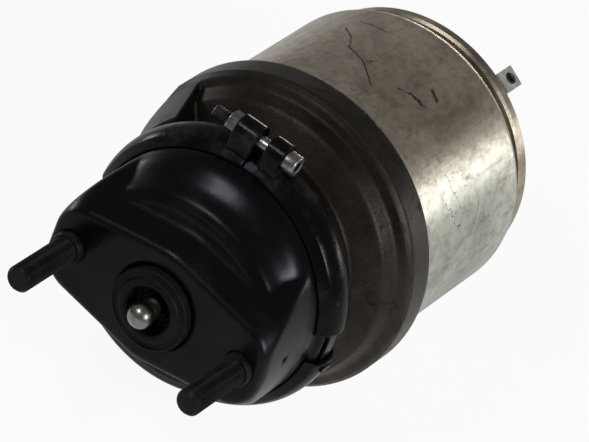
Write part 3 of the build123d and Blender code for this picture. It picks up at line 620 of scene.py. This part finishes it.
def turned_mesh(rows, sides=72, loop=False):
    """A skin about Z through rows of height, radius and, for a hexagon, half its width across flats, in mm."""
    shape = bmesh.new()
    rings = []
    for height, radius, *flats in rows:
        if radius == 0:
            rings.append([shape.verts.new(mm(0, 0, height))] * sides)
            continue
        ring = []
        for step in range(sides):
            turn = 2 * math.pi * step / sides
            reach = ring_reach(turn, radius, flats[0] if flats else None)
            ring.append(shape.verts.new(mm(reach * math.cos(turn), reach * math.sin(turn), height)))
        rings.append(ring)
    pairs = list(zip(rings, rings[1:]))
    if loop:
        pairs.append((rings[-1], rings[0]))
    for low, high in pairs:
        for step in range(sides):
            after = (step + 1) % sides
            corners = [low[step], low[after], high[after], high[step]]
            shape.faces.new(list(dict.fromkeys(corners)))
    bmesh.ops.recalc_face_normals(shape, faces=shape.faces)
    made = bpy.data.meshes.new("turned")
    shape.to_mesh(made)
    shape.free()
    return made


def thread_recipe():
    """A threaded bar with a chamfered tip: each ring of a cylinder is pulled to the thread's radius."""
    crest_share, flank_share, sides = 0.12, 0.76, 48
    lengths = dict.fromkeys(("Radius", "Depth", "Pitch", "Length", "Chamfer"), float)
    recipe = Recipe("threaded_bar", {**lengths, "Rings": int})
    blank_size = {"Vertices": sides, "Radius": 1.0, "Depth": recipe.size("Length")}
    rings = {"Side Segments": recipe.size("Rings")}
    blank = recipe.node("GeometryNodeMeshCylinder", {"fill_type": "NGON"}, {**blank_size, **rings})
    x, y, z = recipe.split(recipe.node("GeometryNodeInputPosition", {}, {}))
    turn = recipe.direction(y, x) / (2 * math.pi)
    phase = recipe.node("ShaderNodeMath", {"operation": "FRACT"}, {0: z / recipe.size("Pitch") - turn})
    slope = ((phase * 2).away_from(1) - crest_share) / flank_share
    groove = 1 - slope.most(0).least(1)
    thread_r = recipe.size("Radius") - recipe.size("Depth") * groove
    to_tip = recipe.size("Length") / 2 - z
    radius = thread_r.least(recipe.size("Radius") - recipe.size("Chamfer") + to_tip)
    place = recipe.join(x * radius, y * radius, z + recipe.size("Length") / 2)
    recipe.close(recipe.node("GeometryNodeSetPosition", {}, {"Geometry": blank, "Position": place}))
    return recipe


def coil_recipe():
    """Wire wound about Z, straight or conical, with capped ends."""
    lengths = dict.fromkeys(("Wire", "Start", "End", "Turns", "Height"), float)
    recipe = Recipe("wound_wire", {**lengths, "Corners": int})
    steps_a_turn = 40
    run = {"Resolution": steps_a_turn, "Rotations": recipe.size("Turns"), "Height": recipe.size("Height")}
    ends = {"Start Radius": recipe.size("Start"), "End Radius": recipe.size("End")}
    path = recipe.node("GeometryNodeCurveSpiral", {}, {**run, **ends})
    rim = {"Resolution": recipe.size("Corners"), "Radius": recipe.size("Wire")}
    section = recipe.node("GeometryNodeCurvePrimitiveCircle", {}, rim)
    swept = {"Curve": path, "Profile Curve": section, "Fill Caps": True}
    recipe.close(recipe.node("GeometryNodeCurveToMesh", {}, swept))
    return recipe


threaded_bar = thread_recipe()
wound_wire = coil_recipe()
depth_to_pitch = 0.6


def bar(radius, pitch, length, chamfer, finish, rings_a_turn=8):
    """A threaded bar's mesh, with a thread as deep as ISO ones are."""
    depth = pitch * depth_to_pitch
    sizes = {"Radius": radius, "Depth": depth, "Pitch": pitch, "Length": length, "Chamfer": chamfer}
    sizes = {label: value / 1000 for label, value in sizes.items()}
    return threaded_bar.mesh(finish, Rings=round(length / pitch * rings_a_turn), **sizes)


def coil(wire, start, end, turns, height, finish, corners=12):
    """A coil's mesh: the wire's radius, and the coil's own radius to the middle of the wire at both ends."""
    sizes = {"Wire": wire / 1000, "Start": start / 1000, "End": end / 1000, "Height": height / 1000}
    return wound_wire.mesh(finish, Turns=float(turns), Corners=corners, **sizes)


def piece(name, parts, slot, smooth=34, finish=None):
    """One object from (mesh, matrix) parts, at the origin, with the finish of a slot or a variant of it."""
    joined = bmesh.new()
    for part, place in parts:
        part.transform(place)
        joined.from_mesh(part)
        bpy.data.meshes.remove(part)
    made = bpy.data.meshes.new(name)
    joined.to_mesh(made)
    joined.free()
    made.materials.clear()
    made.materials.append(finish or finishes[slot])
    made.polygons.foreach_set("material_index", [0] * len(made.polygons))
    made.polygons.foreach_set("use_smooth", [True] * len(made.polygons))
    made.set_sharp_from_angle(angle=math.radians(smooth))
    thing = add_object(name, made)
    return thing


# ------------------------------------------------------------------ pieces, in mm
axis_start = mm(0, 0, 0)
stud_spacing = 120.65
stud_places = (-stud_spacing / 2, stud_spacing / 2)
bracket_azimuth = 60


def make_studs():
    """Two studs: a head behind the pad, a plain shank through it, and a fine thread in front."""
    head_r, shank_r, thread_r = 10.5, 8.3, 8.0
    head_rear, head_front = -13, -8
    thread_start, thread_length, pitch, chamfer = 2.1, 48.4, 1.5, 1.7
    head = [(head_rear, 0), (head_rear, head_r - 0.6), (head_rear + 0.6, head_r), (head_front, head_r)]
    shank = [(head_front, shank_r), (0.0, shank_r), (0.2, 7.9), (3.4, 7.5), (3.4, 0)]
    parts = []
    for x in stud_places:
        parts.append((turned_mesh(head + shank, 48), to_front(mm(x, 0, 0))))
        thread = bar(thread_r, pitch, thread_length, chamfer, finishes["black_oxide"])
        parts.append((thread, to_front(mm(x, -thread_start, 0))))
    studs = piece("threaded_studs", parts, "black_oxide", 25)
    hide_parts("mounting_studs")
    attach(studs, "chamber")


def make_stud_collars():
    """A low steel collar pushed over each stud against the pad."""
    bore_r, seat_gap = 8.05, 0.02
    rows = [(0.0, bore_r), (0.0, 9.7), (0.4, 10.0), (3.2, 9.8), (4.3, 9.3), (4.6, 8.7), (4.5, bore_r)]
    parts = [(turned_mesh(rows, 64, True), to_front(mm(x, -seat_gap, 0))) for x in stud_places]
    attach(piece("stud_collars", parts, "black_oxide", 30), "chamber")


def make_boot():
    """The boot's moulded rings, its rolled mouth and the thin cup that grips the rod."""
    grip = [(-8.2, 6.6), (-10.2, 6.6), (-10.2, 8.6), (-8.9, 9.3), (-8.2, 11.0), (-8.2, 15.4), (-7.6, 16.3)]
    flange = [(-5.2, 16.6), (-5.2, 29.4), (-4.8, 29.9), (-3.3, 29.9), (-3.0, 29.5), (-3.0, 25.3)]
    rim = [(3.9, 25.3), (4.8, 25.0), (5.2, 24.4), (5.0, 23.7), (4.3, 23.2), (4.2, 22.6), (4.5, 22.1)]
    rings = [(4.6, 21.5), (4.5, 20.9), (4.6, 20.3), (5.3, 19.9), (5.8, 19.5), (6.1, 18.8), (6.2, 17.6)]
    mouth = [(6.2, 16.5), (6.0, 15.6), (5.4, 14.9), (4.6, 14.5), (3.6, 14.4), (-4.2, 14.4), (-5.2, 14.0)]
    fold = [(-5.6, 13.0), (-5.9, 11.6), (-5.2, 10.4), (-5.6, 9.2), (-5.0, 8.4), (-4.2, 7.6), (-4.3, 6.6)]
    skin = turned_mesh(grip + flange + rim + rings + mouth + fold, 120, True)
    boot = piece("moulded_boot", [(skin, to_front(axis_start))], "black_rubber", 50)
    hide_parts("dust_boot")
    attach(boot, "chamber")


def make_clamp_bolt():
    """A socket-head bolt along X and its chamfered nut."""
    y, z = 62.3, 90.3
    head_x, thread_x, nut_x = 15.4, -4.2, -17.6
    thread_r, pitch, thread_length, chamfer = 4.0, 1.25, 31.2, 1.0
    half_flats, nut_bore_r = 6.5, 4.05
    rim = [(0, 0), (0, thread_r), (0, 6.2), (0.3, 6.5), (7.2, 6.5), (7.7, 6.2), (8.0, 5.7), (8.0, 3.9)]
    socket = [(7.6, 3.6, 3.0), (3.5, 3.47, 3.0), (2.8, 0)]
    shank = [(-0.1, 0), (-0.1, thread_r), (20.0, thread_r), (20.4, 3.5), (20.4, 0)]
    parts = [(turned_mesh(rim + socket), to_right(mm(head_x, y, z)))]
    parts.append((turned_mesh(shank, 48), to_left(mm(head_x, y, z))))
    bolt = piece("clamp_screw", parts, "zinc")
    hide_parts("clamp_bolt")
    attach(bolt, "chamber")
    thread = bar(thread_r, pitch, thread_length, chamfer, grimy_thread_finish, 10)
    parts = [(thread, to_left(mm(thread_x, y, z)))]
    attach(piece("clamp_screw_thread", parts, "zinc", 34, grimy_thread_finish), "chamber")
    rows = [(0, nut_bore_r), (0, 6.4, half_flats), (0.7, 7.6, half_flats), (6.0, 7.6, half_flats)]
    rows += [(6.8, 6.3, half_flats), (6.8, 4.6), (6.3, nut_bore_r)]
    nut = piece("clamp_screw_nut", [(turned_mesh(rows, 72, True), to_left(mm(nut_x, y, z)))], "zinc", 25)
    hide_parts("clamp_nut")
    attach(nut, "chamber")


def make_release_bolt():
    """The caging bolt: a chamfered hexagon head behind the cover and a long thread into the piston."""
    head_front, head_rear, half_flats, corner_r = 340, 350, 12.0, 13.86
    thread_start, thread_end, thread_r, pitch = 167.6, 340.2, 8.0, 2.0
    head = [(head_front, 0), (head_front, 11.2, half_flats), (340.9, corner_r, half_flats)]
    head += [(348.6, corner_r, half_flats), (head_rear, 11.6, half_flats), (head_rear, 0)]
    thread = bar(thread_r, pitch, thread_end - thread_start, 0.0, finishes["zinc"], 6)
    parts = [(turned_mesh(head), to_rear(axis_start)), (thread, to_rear(mm(0, thread_start, 0)))]
    bolt = piece("caging_bolt", parts, "zinc", 25)
    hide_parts("release_bolt")
    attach(bolt, "release_bolt")


def make_bracket_screw():
    """A small flanged hexagon screw through the bracket's foot."""
    seat_y, from_axis, half_flats = 273, 66, 5.0
    spot = spoke(bracket_azimuth) * from_axis / 1000 + mm(0, seat_y, 0)
    shank = [(-8, 0), (-8, 2.6), (-7.4, 3.0), (0, 3.0)]
    flange = [(0, 5.7), (0.5, 5.8), (0.9, 5.2)]
    head = [(0.9, 5.6, half_flats), (3.4, 5.6, half_flats), (4.0, 4.9, half_flats), (4.0, 0)]
    screw = piece("bracket_screw_head", [(turned_mesh(shank + flange + head), to_rear(spot))], "zinc", 25)
    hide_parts("bracket_screw")
    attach(screw, "chamber")


def make_tab_nut():
    """The clinch nut in the tab's hole: a thin collar flush with the tab and a dark barrel behind it."""
    hole_y, face_r = 279.5, 83.0
    out = spoke(bracket_azimuth)
    spot = out * face_r / 1000 + mm(0, hole_y, 0)
    collar = [(0.15, 2.5), (0.15, 3.3), (-0.1, 3.6), (-2.05, 3.6)]
    barrel = [(-2.05, 4.9), (-5.6, 4.9), (-6.0, 4.5), (-6.0, 2.5), (-5.7, 2.1), (-0.3, 2.1)]
    parts = [(turned_mesh(collar + barrel, 48, True), outwards(spot, out))]
    nut = piece("tab_clinch_nut", parts, "zinc", 30, grimy_thread_finish)
    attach(nut, "chamber")


def make_port_threads():
    """The thread inside each air port."""
    port_azimuth, port_y, beside_axis, bottom_r = 205, 97, 16, 78.5
    ridge_r, thread_r, turns, depth = 0.62, 7.45, 7, 10.5
    out = spoke(port_azimuth)
    across = Vector((0, 1, 0)).cross(out)
    parts = []
    for side in (-beside_axis, beside_axis):
        bottom = out * bottom_r / 1000 + across * side / 1000 + mm(0, port_y, 0)
        ridge = coil(ridge_r, thread_r, thread_r, turns, depth, finishes["cast_alloy"], 3)
        parts.append((ridge, outwards(bottom, out)))
    threads = piece("port_threads", parts, "cast_alloy")
    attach(threads, "chamber")


def make_power_spring():
    """The heavy parking spring between the piston and the cover."""
    wire_r, coil_r, turns, front, length = 6.0, 51.0, 7, 163.3, 93.4
    wound = coil(wire_r, coil_r, coil_r, turns, length, finishes["spring_steel"], 16)
    power = piece("power_coil", [(wound, to_rear(mm(0, front, 0)))], "spring_steel", 60)
    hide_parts("power_spring")
    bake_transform(power)


def make_return_spring():
    """The light conical spring between the bowl and the push plate."""
    wire_r, bowl_end_r, plate_end_r, turns, front, length = 1.6, 31.4, 16.0, 4, 9.9, 64.2
    wound = coil(wire_r, bowl_end_r, plate_end_r, turns, length, finishes["spring_steel"])
    back = piece("return_coil", [(wound, to_rear(mm(0, front, 0)))], "spring_steel", 60)
    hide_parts("return_spring")
    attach(back, "chamber")
    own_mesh(back)


def make_diaphragm():
    """The rolling diaphragm: a flat floor on the push plate, a sloping wall and the clamped bead."""
    front_floor = [(79.4, 0), (79.4, 30), (79.3, 52), (79.1, 57.5), (78.4, 60.2)]
    front_wall = [(76.8, 62.3), (74.0, 64.4), (70.6, 66.6), (67.2, 68.5), (64.8, 69.5), (63.4, 70.4)]
    bead = [(63.0, 71.4), (63.0, 79.3), (67.5, 79.5), (67.5, 70.9)]
    rear_wall = [(69.2, 69.7), (72.0, 68.3), (76.5, 65.8), (79.6, 63.5)]
    rear_floor = [(81.8, 60.6), (82.5, 57.5), (82.5, 30), (82.5, 0)]
    skin = turned_mesh(front_floor + front_wall + bead + rear_wall + rear_floor, 120)
    sheet = piece("rolling_diaphragm", [(skin, to_rear(axis_start))], "black_rubber", 60)
    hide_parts("diaphragm")
    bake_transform(sheet)


make_studs()
make_stud_collars()
make_boot()
make_clamp_bolt()
make_release_bolt()
make_bracket_screw()
make_tab_nut()
make_port_threads()
make_power_spring()
make_return_spring()
make_diaphragm()


# ------------------------------------------------------------------ floor, light and camera, in metres
def floor_sheet():
    """A pale surface that the camera sees as nearly plain white and that still takes a shadow."""
    finish = Finish("floor_sheet")
    shade = 0.82
    drift = finish.noise(3.0, 2.0)
    colour = finish.tint(drift, grey(shade), grey(shade * 0.985))
    surface = finish.node("ShaderNodeBsdfPrincipled", {}, {"Base Color": colour, "Roughness": 0.9})
    glow = finish.node("ShaderNodeEmission", {}, {"Color": grey(1.0), "Strength": 1.0})
    camera, glossy, through = finish.rays()
    white_share = camera.most(through) * 0.92 + glossy * 0.45
    mixed = finish.node("ShaderNodeMixShader", {}, {0: white_share, 1: surface, 2: glow})
    finish.node("ShaderNodeOutputMaterial", {}, {"Surface": mixed})
    return finish.material


def make_floor():
    """A square of floor just under the chamber."""
    half_side, gap = 6.0, 0.0005
    height = cad_box[0][2] - gap
    signs = ((-1, -1), (1, -1), (1, 1), (-1, 1))
    mesh = bpy.data.meshes.new("floor")
    mesh.from_pydata([(x * half_side, y * half_side, height) for x, y in signs], [], [(0, 1, 2, 3)])
    mesh.materials.append(floor_sheet())
    add_object("floor", mesh)


def make_camera():
    """The camera, with a lens given as its focal length and the frame's width in pixels."""
    right = Vector((0.7806, 0.5385, 0.3173)).normalized()
    rough_up = Vector((-0.5540, 0.3611, 0.7501))
    back = right.cross(rough_up).normalized()
    up = back.cross(right)
    place = (0.8377, -2.0530, 1.6709)
    focal_px, frame_px = 5000, 589
    lens = bpy.data.cameras.new("camera")
    lens.sensor_width = 36.0
    lens.lens = focal_px / frame_px * lens.sensor_width
    lens.clip_end = 50.0
    camera = add_object("camera", lens)
    camera.matrix_world = Matrix.Translation(place) @ Matrix((right, up, back)).transposed().to_4x4()
    bpy.context.scene.camera = camera


def make_room():
    """A plain pale room: dim to the object, white behind it, and slightly brighter in what it mirrors."""
    world = bpy.data.worlds.new("room")
    world.use_nodes = True
    world.node_tree.nodes.clear()
    room = Graph(world.node_tree)
    camera, glossy, through = room.rays()
    strength = camera.most(through) * 0.80 + glossy * 0.02 + 0.17
    air = room.node("ShaderNodeBackground", {}, {"Color": grey(1.0), "Strength": strength})
    room.node("ShaderNodeOutputWorld", {}, {"Surface": air})
    bpy.context.scene.world = world
    bpy.context.scene.view_settings.view_transform = "Standard"


def soft_box(name, place, size, power):
    """A rectangular studio lamp aimed at the middle of the chamber."""
    middle = Vector((0, 0.13, 0))
    lamp = bpy.data.lights.new(name, "AREA")
    lamp.shape = "RECTANGLE"
    lamp.size, lamp.size_y = size
    lamp.energy = power
    holder = add_object(name, lamp)
    holder.location = place
    holder.rotation_euler = (middle - Vector(place)).to_track_quat("-Z", "Y").to_euler()


make_floor()
make_camera()
make_room()
soft_box("right_box", (1.30, -0.315, 0.675), (0.26, 0.46), 14)
soft_box("rear_side", (1.08, 1.44, 0.30), (0.46, 0.32), 4.3)
soft_box("back_card", (-0.35, 1.85, 0.10), (0.8, 0.2), 6)
soft_box("low_left", (-1.40, 0.28, 0.02), (0.5, 0.12), 3)
soft_box("front_top", (-0.5, -0.75, 1.25), (0.6, 0.14), 9)
